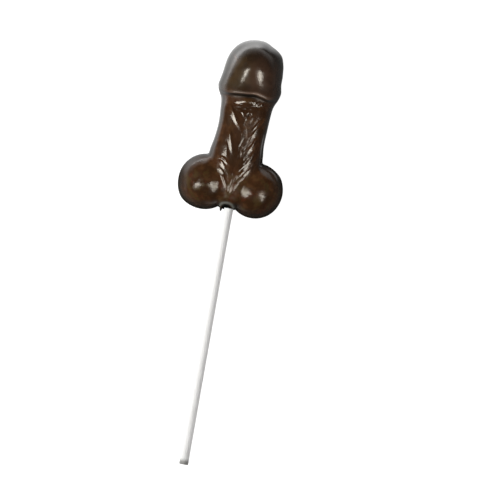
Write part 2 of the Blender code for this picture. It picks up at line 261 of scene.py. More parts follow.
def blend(tree, share, first, second):
    """The first colour with a share of the second over it, each a socket or a tuple."""
    node = tree.nodes.new("ShaderNodeMix")
    node.data_type = "RGBA"
    tree.links.new(share, node.inputs["Factor"])
    for socket, colour in (("A", first), ("B", second)):
        if isinstance(colour, tuple):
            node.inputs[socket].default_value = (*colour, 1.0)
        else:
            tree.links.new(colour, node.inputs[socket])
    return node.outputs["Result"]


def roughen(tree, shader, height, strength, distance):
    """Gives the shader a fine bump of a height pattern."""
    node = tree.nodes.new("ShaderNodeBump")
    node.inputs["Strength"].default_value = strength
    node.inputs["Distance"].default_value = distance
    tree.links.new(height, node.inputs["Height"])
    tree.links.new(node.outputs["Normal"], shader.inputs["Normal"])


stick_low, stick_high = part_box("stick")
fibre_stretch = (2600.0, 260.0, 2600.0)
fibre_dark, fibre_pale, paper_cloud = (0.82, 0.82, 0.82), (0.90, 0.90, 0.90), (0.87, 0.87, 0.86)
foot_grey = (0.28, 0.28, 0.27)
foot_grey_full, foot_grey_none = 0.0008, 0.0032


def paper_finish():
    """White paper with fine fibres along the stick, a little cloudy, and darker grey towards its lower end.
    """
    made = bpy.data.materials.new("wound_white_paper")
    made.use_nodes = True
    tree = made.node_tree
    shader = tree.nodes["Principled BSDF"]
    shader.inputs["Roughness"].default_value = 0.62
    shader.inputs["Specular IOR Level"].default_value = 0.35
    place = tree.nodes.new("ShaderNodeTexCoord").outputs["Object"]
    stretched = tree.nodes.new("ShaderNodeMapping")
    stretched.inputs["Scale"].default_value = fibre_stretch
    tree.links.new(place, stretched.inputs["Vector"])
    fibres = noise(tree, stretched.outputs["Vector"], 1.0, 5.0)
    fibre_colour = tree.nodes.new("ShaderNodeValToRGB")
    for stop, position, colour in zip(
        fibre_colour.color_ramp.elements, (0.30, 0.62), (fibre_dark, fibre_pale)
    ):
        stop.position = position
        stop.color = (*colour, 1.0)
    tree.links.new(fibres, fibre_colour.inputs["Fac"])
    clouded = blend(tree, noise(tree, place, 90.0, 3.0), fibre_colour.outputs["Color"], paper_cloud)
    _, along, _ = axes_of(tree, "Object")
    foot_greying = soft_step(tree, along, stick_low.y + foot_grey_none, stick_low.y + foot_grey_full)
    tree.links.new(blend(tree, foot_greying, clouded, foot_grey), shader.inputs["Base Color"])
    roughen(tree, shader, fibres, strength=0.25, distance=0.00004)
    return made


stick_radius = (stick_high.x - stick_low.x) / 2
stick_length = stick_high.y - stick_low.y
stick_axis = Vector(((stick_low.x + stick_high.x) / 2, 0.0, (stick_low.z + stick_high.z) / 2))
stick_sides = 96
stick_stretches = 12
paper_thickness = 0.00011
wraps_shown = 16
wrap_groove = 0.00003
least_turn_radius = 0.00002
wrap_end_turn = 200.0
edge_break = 0.00022
edge_middle = edge_break * 0.3
paper_sharp_angle = 35.0

rod = bmesh.new()
bmesh.ops.create_circle(rod, cap_ends=False, segments=stick_sides, radius=stick_radius)


def wound(ring, radius, along):
    """Puts a ring's points on one turn of the spiral, at a distance along the stick."""
    for vert in ring:
        turn = math.atan2(vert.co.y, vert.co.x) % math.tau
        at = max(radius - paper_thickness * turn / math.tau, least_turn_radius)
        vert.co = Vector((at * math.cos(turn), at * math.sin(turn), along))


def drawn_ring(edges):
    """Extrudes a ring of edges and returns the new ring's edges and points."""
    made = bmesh.ops.extrude_edge_only(rod, edges=edges)["geom"]
    return (
        [item for item in made if isinstance(item, bmesh.types.BMEdge)],
        [item for item in made if isinstance(item, bmesh.types.BMVert)],
    )


foot_edges = rod.edges[:]
wound(rod.verts, stick_radius - edge_break, 0.0)
ring_edges = foot_edges
for along, radius in (
    (edge_middle, stick_radius - edge_middle),
    (edge_break, stick_radius),
    *((stick_length * stretch / stick_stretches, stick_radius) for stretch in range(1, stick_stretches)),
    (stick_length - edge_break, stick_radius),
    (stick_length - edge_middle, stick_radius - edge_middle),
    (stick_length, stick_radius - edge_break),
):
    ring_edges, ring_points = drawn_ring(ring_edges)
    wound(ring_points, radius, along)
bmesh.ops.holes_fill(rod, edges=ring_edges, sides=0)
ring_edges = foot_edges
for wrap in range(wraps_shown):
    for share, depth in ((0.5, wrap_groove), (1.0, 0.0)):
        ring_edges, ring_points = drawn_ring(ring_edges)
        wound(ring_points, stick_radius - edge_break - (wrap + share) * paper_thickness, depth)
bmesh.ops.holes_fill(rod, edges=ring_edges, sides=0)
for degrees, axis in ((wrap_end_turn, "Z"), (-90.0, "X")):
    turned = Matrix.Rotation(math.radians(degrees), 3, axis)
    bmesh.ops.rotate(rod, cent=(0, 0, 0), matrix=turned, verts=rod.verts)
bmesh.ops.translate(rod, vec=(stick_axis.x, stick_low.y, stick_axis.z), verts=rod.verts)
bmesh.ops.recalc_face_normals(rod, faces=rod.faces)
paper_stick = piece_from(rod, "paper_stick", paper_finish())
paper_stick.data.shade_smooth()
paper_stick.data.set_sharp_from_angle(angle=math.radians(paper_sharp_angle))
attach(paper_stick, "root")
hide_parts("stick")


# The chocolate: one solid casting from a one-sided mould, with two round lobes, a folded shaft and a smooth
# rounded head over a raised rim. Its back is the poured side, flat and a little uneven. All of it is in mm,
# with y = 0 where the stick enters, until it is put in its place at the end.
stick_shown = 114.9
tip_y = 76.5
wall = 1.0
lobe_radii = (12.25, 12.4, 10.8)
left_lobe_place, right_lobe_place = (-11.2, 10.5, 0.0), (11.35, 10.2, 0.0)
web_place, web_radii = (0.3, 5.8, 0.0), (8.0, 6.2, 9.3)
entry_z = 4.5
collar_x, collar_foot_y, collar_depth, collar_radii = 0.6, 0.4, 6.0, (2.6, 6.0)
flash_x, flash_tip_y, flash_radii = -2.4, -1.3, (0.35, 1.6)
trunk_foot_y, trunk_foot_round = 1.5, 5.5
dome_y, dome_powers = 61.5, (2.2, 2.0)
crease_y = 50.1

# (y, middle x, half width, height above the wall, squareness of the section) along the shaft and head
trunk_stations = (
    (0.0, 0.1, 12.0, 7.8, 2.3),
    (8.0, 0.1, 12.2, 9.6, 2.4),
    (14.0, 0.1, 12.2, 10.2, 2.7),
    (20.0, 0.1, 12.2, 10.45, 3.1),
    (25.0, 0.15, 11.95, 10.6, 3.3),
    (30.0, 0.4, 11.25, 10.7, 3.7),
    (37.0, 0.9, 11.0, 10.8, 3.9),
    (44.0, 0.95, 11.35, 10.95, 3.6),
    (47.5, 1.0, 11.7, 11.1, 2.8),
    (49.2, 1.1, 12.2, 11.2, 2.5),
    (50.1, 1.1, 12.75, 11.35, 2.4),
    (50.7, 1.1, 13.1, 11.9, 2.4),
    (51.3, 1.05, 13.45, 12.8, 2.4),
    (51.8, 1.0, 13.7, 13.05, 2.4),
    (52.6, 1.0, 13.95, 13.03, 2.4),
    (54.0, 1.0, 14.15, 12.9, 2.4),
    (56.0, 1.05, 13.85, 12.94, 2.4),
    (58.5, 1.1, 13.45, 13.25, 2.3),
    (61.0, 1.3, 13.3, 13.65, 2.15),
    (66.0, 1.5, 13.2, 14.4, 1.9),
    (76.5, 1.6, 13.0, 14.6, 2.0),
)

# Where the head and the lobes are a little fuller or flatter than true forms: direction from the middle in
# degrees from +X, half width of the place in degrees, and how far out it stands
dome_centre, dome_reach, dome_uneven_from = (1.3, 61.5), 14.0, 57.5
dome_uneven = (
    (10.0, 9.0, -0.22),
    (39.0, 9.0, 0.34),
    (64.0, 11.0, -0.52),
    (109.0, 12.0, -0.18),
    (170.0, 14.0, -0.16),
)
left_lobe_uneven = ((222.0, 26.0, 0.62),)
right_lobe_uneven = ((35.0, 14.0, 0.24), (340.0, 20.0, -0.08))

# The rim arches over the shaft, tilts a little and rises at the sides, with a rise and a dip on its right
rim_side_rise, rim_side_x, rim_half_width = 2.6, 1.0, 13.0
rim_arch, rim_arch_x, rim_tilt = 0.014, 2.5, 0.03
rim_bumps = ((4.0, 2.5, 0.40), (10.0, 2.0, -0.5))
rim_band_y, rim_band_width = crease_y + 1.5, 4.5

# The rolls under the rim, the hollow over the stick and two pits: middle x, half width across, middle y and
# how far it rises for each mm to the right, half width along, and height
rolls_and_hollows = (
    (1.2, 3.1, 48.2, 0.08, 1.9, 0.62),
    (1.0, 7.5, 46.5, 0.0, 0.6, -0.15),
    (-0.2, 2.2, 45.6, 0.0, 0.6, 0.12),
    (-0.7, 1.6, 1.2, 0.0, 0.6, -0.25),
    (1.6, 1.6, 44.6, 0.0, 0.9, -0.28),
    (3.0, 0.7, 42.2, 0.0, 0.8, -0.70),
)
crease_depth, crease_rise, crease_width = 0.22, 0.4, 0.55
seam_foot_x, seam_drift, seam_drift_from, seam_drift_length = 0.1, 2.2, 14.0, 18.0
seam_wave, seam_turn_per_mm = 0.4, 0.62
seam_depth, seam_width = 0.16, 0.60
seam_faint_y, seam_faint_width, seam_faint_share = 19.0, 5.0, 0.7

# The larger folds of the shaft: crest from (x, y) at the outer end to (x, y) at the seam, sideways bow, width
# of the outer flank and height
folds = [
    (-3.2, 44.4, 2.0, 38.0, 1.9, 0.70, 0.08),
    (-0.3, 43.5, 1.7, 40.4, 0.0, 0.60, 0.16),
    (-6.3, 45.6, 1.1, 34.4, -0.1, 1.10, 0.52),
    (-4.6, 35.0, -0.6, 23.2, -0.2, 1.20, 0.55),
    (-5.0, 29.0, -2.9, 22.0, -0.2, 0.80, 0.12),
    (-6.6, 22.5, -2.2, 19.5, 0.2, 0.75, 0.38),
    (-6.3, 20.9, -3.4, 17.6, 0.1, 0.80, 0.36),
    (-6.0, 17.5, -2.2, 13.4, 0.0, 0.60, 0.12),
    (-4.3, 14.6, -0.1, 6.8, 0.2, 0.72, 0.38),
    (10.0, 41.6, 5.0, 32.8, 0.1, 0.85, 0.40),
    (8.4, 41.2, 4.6, 35.0, 0.1, 0.60, 0.26),
    (7.8, 33.2, 4.8, 26.2, 0.3, 0.75, 0.28),
    (8.4, 29.8, 5.6, 23.4, 0.2, 0.65, 0.24),
    (7.9, 27.0, 5.4, 20.9, 0.2, 0.75, 0.34),
    (9.4, 24.9, 5.4, 17.1, 0.4, 0.70, 0.17),
    (8.4, 20.5, 3.8, 14.6, 0.2, 0.60, 0.14),
    (4.8, 15.2, 2.6, 12.8, 0.1, 0.60, 0.28),
    (2.7, 12.3, 0.6, 7.2, -0.1, 0.62, 0.32),
    (0.4, 16.2, 0.1, 11.8, 0.0, 0.50, 0.15),
    (1.9, 15.8, 1.4, 12.6, 0.1, 0.50, 0.12),
    (2.4, 26.9, 4.8, 17.1, 0.2, 0.80, 0.09),
    (1.0, 24.7, 2.6, 15.2, 0.2, 0.65, 0.05),
    (2.9, 29.2, 3.1, 24.6, 0.1, 0.60, 0.17),
    (2.2, 38.0, 1.5, 34.6, 0.1, 0.55, 0.14),
    (4.2, 33.4, 3.3, 28.1, 0.0, 0.55, 0.14),
    (1.3, 34.4, 1.6, 30.4, 0.1, 0.60, 0.12),
    (4.2, 42.2, 3.4, 38.4, 0.0, 0.60, 0.24),
    (2.6, 48.9, 4.2, 46.8, 0.1, 0.50, 0.16),
    (4.0, 49.0, 5.8, 46.6, 0.1, 0.50, 0.16),
    (8.2, 48.9, 6.0, 46.6, 0.1, 0.50, 0.16),
    (6.4, 49.1, 4.6, 47.0, 0.1, 0.45, 0.14),
    (7.2, 48.4, 8.4, 46.4, 0.1, 0.45, 0.12),
]
groove_depth, groove_width = 0.25, 2.0
flank_lean = 0.22
fold_start, fold_start_height, fold_run_out = 0.2, 0.1, 1.3

wrinkle_rows, wrinkle_foot_y, wrinkle_spacing = 20, 13.0, 1.15
wrinkle_widths = (0.28, 0.40)
chance = random.Random(11)


def seam_x(y):
    """Where the wavy crease in the middle of the shaft lies."""
    drift = seam_drift * np.clip((y - seam_drift_from) / seam_drift_length, 0, 1)
    return seam_foot_x + drift + seam_wave * np.sin(y * seam_turn_per_mm)


def add_wrinkle(side, level, reaches, slopes, offsets, bow, heights):
    """Adds a fine wrinkle that ends by the seam at a level: side is 1 to the seam's right and -1 to its left,
    and a pair gives the bounds of a random size."""
    reach = chance.uniform(*reaches)
    rise = reach * chance.uniform(*slopes)
    inner = float(seam_x(level)) + side * chance.uniform(*offsets)
    outer = inner + side * reach
    half_width = chance.uniform(*wrinkle_widths)
    folds.append((outer, level + rise, inner, level, bow, half_width, chance.uniform(*heights)))


# The fine wrinkles between the folds run down to the seam from both sides, as the bones of a herring do
for row in range(wrinkle_rows):
    level = wrinkle_foot_y + wrinkle_spacing * row + chance.uniform(-0.3, 0.3)
    add_wrinkle(1, level, (2.2, 4.0), (1.0, 1.5), (0.5, 1.6), 0.15, (0.03, 0.08))
    if row % 2 == 0:
        add_wrinkle(-1, level, (1.8, 3.2), (1.3, 1.9), (0.4, 1.2), -0.1, (0.03, 0.06))


def through(stations, y, column):
    """A smooth line through one column of the stations, read at y."""
    ys = [station[0] for station in stations]
    values = [station[column] for station in stations]
    last = len(ys) - 1
    y = min(max(y, ys[0]), ys[-1])
    i = min(max(j for j in range(len(ys)) if ys[j] <= y), last - 1)
    slopes = []
    for j in (i, i + 1):
        before, after = max(j - 1, 0), min(j + 1, last)
        slopes.append((values[after] - values[before]) / (ys[after] - ys[before]))
    step = ys[i + 1] - ys[i]
    t = (y - ys[i]) / step
    return (
        (2 * t**3 - 3 * t**2 + 1) * values[i]
        + (t**3 - 2 * t**2 + t) * step * slopes[0]
        + (3 * t**2 - 2 * t**3) * values[i + 1]
        + (t**3 - t**2) * step * slopes[1]
    )


def trunk_section(y):
    """Middle, half width, height above the wall and squareness at y, closed by a blunt foot and a dome."""
    middle, half_width, height, squareness = (through(trunk_stations, y, column) for column in (1, 2, 3, 4))
    foot = min(1.0, (y - trunk_foot_y) / trunk_foot_round)
    foot_factor = math.sqrt(1 - (1 - foot) ** 2)
    half_width *= foot_factor
    height *= foot_factor
    if y > dome_y:
        share = min(1.0, (y - dome_y) / (tip_y - dome_y))
        half_width *= (1 - share ** dome_powers[0]) ** (1 / dome_powers[0])
        height *= (1 - share ** dome_powers[1]) ** (1 / dome_powers[1])
    return middle, half_width, height, squareness


def bump(value, centre, half_width):
    """A smooth bump of 1 at the centre, which falls to 0.37 at the half width."""
    return np.exp(-(((value - centre) / half_width) ** 2))


def rim_shift(x):
    """How far up the head's rim lies at x against its middle."""
    side_rise = rim_side_rise * ((x - rim_side_x) / rim_half_width) ** 4
    shift = side_rise - rim_arch * (x - rim_arch_x) ** 2 - rim_tilt * x
    return shift + sum(height * bump(x, place, half_width) for place, half_width, height in rim_bumps)


def signed_power(value, power):
    """A power of the value's size, with the value's sign."""
    return math.copysign(abs(value) ** power, value)


def outward(around, uneven):
    """How far a form stands out in the direction around, from a list of its uneven places."""
    turned = [(around - direction + 180) % 360 - 180 for direction, _, _ in uneven]
    return sum(height * bump(turn, 0.0, half_width) for turn, (_, half_width, height) in zip(turned, uneven))


def trunk_form():
    """Shaft and head: a unit sphere whose rows are spread along Y and drawn out to each section."""
    shape = bmesh.new()
    bmesh.ops.create_uvsphere(shape, u_segments=128, v_segments=280, radius=1.0)
    for vert in shape.verts:
        share = 0.5 + math.asin(max(-1.0, min(1.0, vert.co.z))) / math.pi
        y = trunk_foot_y + share * (tip_y - trunk_foot_y)
        angle = math.atan2(vert.co.y, vert.co.x)
        middle, half_width, height, squareness = trunk_section(y)
        x = middle + half_width * signed_power(math.cos(angle), 2 / squareness)
        z = height * signed_power(math.sin(angle), 2 / squareness)
        y += rim_shift(x) * bump(y, rim_band_y, rim_band_width)
        from_centre = (x - dome_centre[0], y - dome_centre[1])
        around = math.atan2(from_centre[1], from_centre[0])
        out = outward(math.degrees(around), dome_uneven) if y > dome_uneven_from else 0.0
        out *= min(1.0, math.hypot(*from_centre) / dome_reach) ** 6
        vert.co = Vector((x + out * math.cos(around), y + out * math.sin(around), z))
    return shape


def round_form(place, radii, uneven=()):
    """An ellipsoid: a lobe, or the web that fills the hollow between the two lobes round the stick."""
    shape = bmesh.new()
    bmesh.ops.create_uvsphere(shape, u_segments=96, v_segments=72, radius=1.0)
    bmesh.ops.scale(shape, vec=radii, verts=shape.verts)
    for vert in shape.verts:
        around = math.degrees(math.atan2(vert.co.y, vert.co.x))
        vert.co.xy *= 1 + outward(around, uneven) / radii[0]
    bmesh.ops.translate(shape, vec=place, verts=shape.verts)
    return shape


def cone_form(place_x, foot_y, depth, foot_radius, top_radius):
    """A cone at the height of the stick, from foot_y up the stick by its depth."""
    shape = bmesh.new()
    bmesh.ops.create_cone(
        shape, cap_ends=True, segments=48, radius1=top_radius, radius2=foot_radius, depth=depth
    )
    upright = Matrix.Rotation(math.radians(90), 4, "X")
    bmesh.ops.rotate(shape, cent=(0, 0, 0), matrix=upright, verts=shape.verts)
    bmesh.ops.translate(shape, vec=(place_x, foot_y + depth / 2, entry_z - wall), verts=shape.verts)
    return shape


def fold_height(x, y, fold):
    """What one fold adds: a ridge on a bowed line with a gentle outer flank, a steep inner one and a shallow
    groove on each side. It rises quickly at its outer end and runs out slowly towards the seam."""
    x0, y0, x1, y1, bow, half_width, height = fold
    run = np.array([x1 - x0, y1 - y0])
    length = np.linalg.norm(run)
    along, aside = run / length, np.array([-run[1], run[0]]) / length
    t = np.clip(((x - x0) * along[0] + (y - y0) * along[1]) / length, 0, 1)
    offset = bow * 4 * t * (1 - t)
    centre_x = x0 + t * run[0] + offset * aside[0]
    centre_y = y0 + t * run[1] + offset * aside[1]
    away = np.hypot(x - centre_x, y - centre_y)
    outer = -math.copysign(1.0, run[0]) * ((x - centre_x) * aside[0] + (y - centre_y) * aside[1])
    width = half_width * (1 - flank_lean + flank_lean * outer / np.maximum(away, 0.001))
    across = bump(away, 0.0, width) - groove_depth * bump(away, 0.0, half_width * groove_width)
    start = np.clip(t / fold_start, 0, 1)
    return height * across * (fold_start_height + start * (2 - start) * (1 - t**fold_run_out))


def ramp(values, start, end):
    """A straight change from 0, where the values are at start, to 1, where they are at end."""
    return np.clip((values - start) / (end - start), 0, 1)


def relief(x, y):
    """What the rim's crease, the rolls below it, the seam, the hollows and the folds add to the front."""
    total = -crease_depth * bump(y, crease_y + crease_rise + rim_shift(x), crease_width)
    for middle_x, half_across, middle_y, slope, half_along, height in rolls_and_hollows:
        total += height * bump(y, middle_y + slope * x, half_along) * bump(x, middle_x, half_across)
    seam_share = ramp(y, 5.0, 8.0) * ramp(y, 43.5, 41.5)
    seam_share *= 1 - seam_faint_share * bump(y, seam_faint_y, seam_faint_width)
    total -= seam_depth * bump(x, seam_x(y), seam_width) * seam_share
    for fold in folds:
        total += fold_height(x, y, fold)
    return total


def waves(points, seed, wavelength, count=14):
    """Smooth unevenness between about -1 and 1: waves of one length that cross in all directions."""
    draw = np.random.default_rng(seed)
    total = np.zeros(len(points))
    for _ in range(count):
        direction = draw.normal(size=3)
        direction *= math.tau / wavelength * draw.uniform(0.7, 1.3) / np.linalg.norm(direction)
        total += np.sin(points @ direction + draw.uniform(0, math.tau))
    return total / math.sqrt(count / 2) / 2


def read(mesh, what):
    """The mesh's points or normals, one row for each point."""
    values = np.empty(len(mesh.vertices) * 3)
    mesh.vertices.foreach_get(what, values)
    return values.reshape(-1, 3)


def relax(mesh, passes, weigh):
    """Rounds the mesh by moving each point towards its neighbours, as far as weigh says for x, y and z."""
    count = len(mesh.vertices)
    ends = np.empty(len(mesh.edges) * 2, dtype=int)
    mesh.edges.foreach_get("vertices", ends)
    ends = ends.reshape(-1, 2)
    points = read(mesh, "co")
    neighbours = np.bincount(ends.ravel(), minlength=count)
    share = 0.5 * weigh(*points.T)[:, None]
    for _ in range(passes):
        middle = np.stack(
            [
                np.bincount(ends[:, 0], points[ends[:, 1], axis], count)
                + np.bincount(ends[:, 1], points[ends[:, 0], axis], count)
                for axis in range(3)
            ],
            axis=1,
        )
        points += share * (middle / neighbours[:, None] - points)
    mesh.vertices.foreach_set("co", points.ravel())
    mesh.update()


def evaluated_mesh(piece):
    """A new mesh of the piece with its modifiers applied."""
    bpy.context.view_layer.update()
    return bpy.data.meshes.new_from_object(piece.evaluated_get(bpy.context.evaluated_depsgraph_get()))


# The forms are fused on a fine grid and relaxed: a little everywhere but by the stick, more on the lower half
# and most on its front, round the lobes
voxel = 0.25
even_passes, edge_passes, front_passes = 4, 22, 120
whole = bmesh.new()
for form in (
    trunk_form(),
    round_form(left_lobe_place, lobe_radii, left_lobe_uneven),
    round_form(right_lobe_place, lobe_radii, right_lobe_uneven),
    round_form(web_place, web_radii),
    cone_form(collar_x, collar_foot_y, collar_depth, *collar_radii),
    cone_form(flash_x, flash_tip_y, collar_depth, *flash_radii),
):
    bmesh.ops.recalc_face_normals(form, faces=form.faces)
    form_mesh = bpy.data.meshes.new("form")
    form.to_mesh(form_mesh)
    form.free()
    whole.from_mesh(form_mesh)
    bpy.data.meshes.remove(form_mesh)
rough_mesh = bpy.data.meshes.new("rough")
whole.to_mesh(rough_mesh)
whole.free()
rough = bpy.data.objects.new("rough", rough_mesh)
bpy.context.scene.collection.objects.link(rough)
fuse = rough.modifiers.new("Fuse", "REMESH")
fuse.mode = "VOXEL"
fuse.voxel_size = voxel
fused = evaluated_mesh(rough)
bpy.data.objects.remove(rough, do_unlink=True)
bpy.data.meshes.remove(rough_mesh)
relax(fused, even_passes, lambda x, y, z: ramp(y, 1, 4))
relax(fused, edge_passes, lambda x, y, z: ramp(y, 1, 4) * ramp(y, 46, 36))
relax(fused, front_passes, lambda x, y, z: ramp(np.abs(z), 3, 7) * ramp(y, 2, 6) * ramp(y, 32, 25))

# The front is lifted by the relief and made a little uneven, most on the lobes, where the long waves have the
# other sign. This unevenness gives the lobes' highlights their ragged outlines.
shaft_long_wave, lobe_long_wave = 0.015, -0.045
shaft_short_wave, lobe_short_wave = 0.004, 0.032
points, normals = read(fused, "co"), read(fused, "normal")
x, y, z = points.T
on_front = ramp(z, 1.5, 5.0)
lifted = relief(x, y) * on_front
on_lobes = ramp(y, 24, 19) * ramp(np.abs(x), 4, 7)
long_waves = (shaft_long_wave + (lobe_long_wave - shaft_long_wave) * on_lobes) * waves(points, 3, 6.0)
short_waves = (shaft_short_wave + (lobe_short_wave - shaft_short_wave) * on_lobes) * waves(points, 4, 3.2)
points += normals * (lifted + (long_waves + short_waves) * on_front)[:, None]
fused.vertices.foreach_set("co", points.ravel())

# Two slanting marks of the front, a band of amber painted light on the shaft and a painted glint on the head:
# a point (x, y) of its line, mm to the left for each mm up, half width, middle y and half length
lit_amber_line = (-5.6, 40.0, 0.42, 0.9, 36.0, 6.0)
# The second mark is a painted glint on the head's left side
head_glint_line = (-9.0, 68.8, 0.625, 0.7, 67.0, 1.8)
entry_middle, entry_radii = (-0.1, 0.4), (3.1, 2.3)
rim_line_rise, dull_drop, shade_drop, rub_and_sheen_drop = 2.05, 1.1, 1.75, 0.3
rub_and_sheen_width, rub_and_sheen_widening = 0.40, 0.45


def slanting_mark(line):
    """A soft mark along a slanting line of the front."""
    on_x, on_y, slope, half_width, middle_y, half_length = line
    return bump(x, on_x + slope * (on_y - y), half_width) * bump(y, middle_y, half_length)


# The marks that the finish reads, at the lifted points: amber and pale folds, which are painted light; the
# rim's edge, partly rubbed and partly a painted highlight; a painted glint on the head; duller places;
# painted shade in the hollow where the stick enters and under the rim; and the hollow's pale lip, a painted
# reflection
rim_line = crease_y + rim_line_rise + rim_shift(x)
near_top = ramp(z, 4, 8)
rub_and_sheen_band = rub_and_sheen_width + rub_and_sheen_widening * ramp(x, 2.0, 7.0)
# Pale tan along the rim's edge: partly rubbing, partly a painted highlight
rub_and_sheen_rim = bump(y, rim_line - rub_and_sheen_drop, rub_and_sheen_band) * bump(x, 4.5, 7.0) * near_top
dull_rim = bump(y, rim_line - dull_drop, 1.6)
dull_shaft = 0.5 * bump(x, 3.4, 2.8) * bump(y, 35.0, 9.0)
# Painted shade in the crease under the rim
shade_under_rim = 0.85 * bump(y, rim_line - shade_drop, 0.6) * bump(x, 1.0, 10.0) * near_top
# Painted shade in the hollow where the stick enters and beside the flash
from_entry = np.hypot((x - entry_middle[0]) / entry_radii[0], (y - entry_middle[1]) / entry_radii[1])
near_flash = bump(x, flash_x, 0.9) * ramp(y, 0.6, 0.0)
shade_at_entry = np.maximum(ramp(from_entry, 0.80, 0.55), near_flash) * ramp(z, 0.8, 3.0)
marks = {
    "fold": lifted + 0.5 * slanting_mark(lit_amber_line),
    "worn_and_glint": np.maximum(rub_and_sheen_rim, 0.6 * slanting_mark(head_glint_line)),
    "dull": np.maximum(dull_rim, dull_shaft),
    "hollow": np.maximum(shade_at_entry, shade_under_rim),
    "lip": bump(from_entry, 1.0, 0.22) * ramp(y, 0.3, 0.9) * ramp(z, -3.0, 0.0),
}
for mark, values in marks.items():
    fused.attributes.new(mark, "FLOAT", "POINT").data.foreach_set("value", values.astype(np.float32))

casting = bmesh.new()
casting.from_mesh(fused)
bpy.data.meshes.remove(fused)
bmesh.ops.bisect_plane(
    casting,
    geom=casting.verts[:] + casting.edges[:] + casting.faces[:],
    plane_co=(0, 0, 0),
    plane_no=(0, 0, 1),
    clear_inner=True,
)
rim_edges = [edge for edge in casting.edges if edge.is_boundary]
for vert in {vert for edge in rim_edges for vert in edge.verts}:
    vert.co.z = 0.0
bmesh.ops.translate(casting, vec=(0, 0, wall), verts=casting.verts)

# The side goes straight down to the poured back and turns into it over a small rounding: (z, how far in)
back_rounding = ((0.30, 0.0), (0.16, 0.03), (0.05, 0.10), (0.0, 0.22))
outwards = {}
for edge in rim_edges:
    corner = edge.link_loops[0]
    along = corner.link_loop_next.vert.co - corner.vert.co
    away = Vector((along.y, -along.x, 0.0))
    for vert in edge.verts:
        outwards[vert] = outwards.get(vert, Vector((0.0, 0.0, 0.0))) + away
ring = {vert: (vert.co.copy(), away.normalized()) for vert, away in outwards.items()}
for level, inset in back_rounding:
    drawn = bmesh.ops.extrude_edge_only(casting, edges=rim_edges)["geom"]
    rim_edges = [item for item in drawn if isinstance(item, bmesh.types.BMEdge)]
    next_ring = {}
    for vert in (item for item in drawn if isinstance(item, bmesh.types.BMVert)):
        above = next(edge.other_vert(vert) for edge in vert.link_edges if edge.other_vert(vert) in ring)
        start, away = next_ring[vert] = ring[above]
        vert.co = Vector((start.x - inset * away.x, start.y - inset * away.y, level))
    ring = next_ring

# The back is cut into cells of 1 mm, and it sinks a little here and there, where the chocolate shrank
cell_offset = 0.13
sink, sink_wavelength, sink_fade = 0.05, 22.0, 2.5
pit_count, pit_depth = 9, 0.22
back = bmesh.ops.holes_fill(casting, edges=rim_edges, sides=0)["faces"]
for axis, lines in ((0, range(-24, 25)), (1, range(-2, 77))):
    for line in lines:
        place, across = Vector((0.0, 0.0, 0.0)), Vector((0.0, 0.0, 0.0))
        place[axis], across[axis] = line + cell_offset, 1.0
        cells = {item for face in back for item in (*face.verts, *face.edges, face)}
        cut = bmesh.ops.bisect_plane(casting, geom=list(cells), plane_co=place, plane_no=across, dist=0.0001)
        back = [item for item in cut["geom"] if isinstance(item, bmesh.types.BMFace)]
back_faces = set(back)
back_points = {vert for face in back for vert in face.verts}
inner = [vert for vert in back_points if back_faces.issuperset(vert.link_faces)]
places = np.array([vert.co for vert in inner])
sunk = sink + sink * waves(places, 7, sink_wavelength)
for _ in range(pit_count):
    pit_x, pit_y, pit_size = chance.uniform(-9, 10), chance.uniform(8, 70), chance.uniform(0.6, 1.3)
    from_pit = np.hypot(places[:, 0] - pit_x, places[:, 1] - pit_y)
    sunk += pit_depth * pit_size * bump(from_pit, 0.0, pit_size)
back_edge = np.array([vert.co for vert in ring])
from_edge = np.array([np.hypot(*(back_edge - place)[:, :2].T).min() for place in places])
for vert, depth in zip(inner, np.maximum(sunk, 0.0) * ramp(from_edge, 0.0, sink_fade) ** 2):
    vert.co.z = depth

entry_y = stick_low.y * 1000 + stick_shown
to_place = Matrix.Scale(0.001, 4) @ Matrix.Translation((0, entry_y, 0))
bmesh.ops.transform(casting, matrix=to_place, verts=casting.verts)
solid_low, solid_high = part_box("chocolate")
for vert in casting.verts:
    vert.co = Vector(min(max(at, low), high) for at, low, high in zip(vert.co, solid_low, solid_high))
casting.normal_update()
bmesh.ops.recalc_face_normals(casting, faces=casting.faces)

# Colours of the chocolate, in linear light
deep_brown, warm_brown, light_brown = (0.036, 0.0150, 0.0054), (0.053, 0.020, 0.0075), (0.071, 0.031, 0.0120)
golden_brown, red_brown, lit_amber_brown = (0.060, 0.036, 0.011), (0.062, 0.018, 0.007), (0.070, 0.034, 0.012)
deep_olive, light_olive = (0.027, 0.0145, 0.006), (0.048, 0.0275, 0.0105)
deep_ruddy, light_ruddy = (0.034, 0.016, 0.0085), (0.062, 0.031, 0.0175)
rub_and_sheen_tan, lip_reflection_grey = (0.165, 0.085, 0.050), (0.150, 0.148, 0.128)
painted_shade_black, edge_shade_black, hollow_shade_black = (0.012, 0.0075, 0.004), (0.010, 0.011, 0.009), (0.003, 0.0035, 0.003)


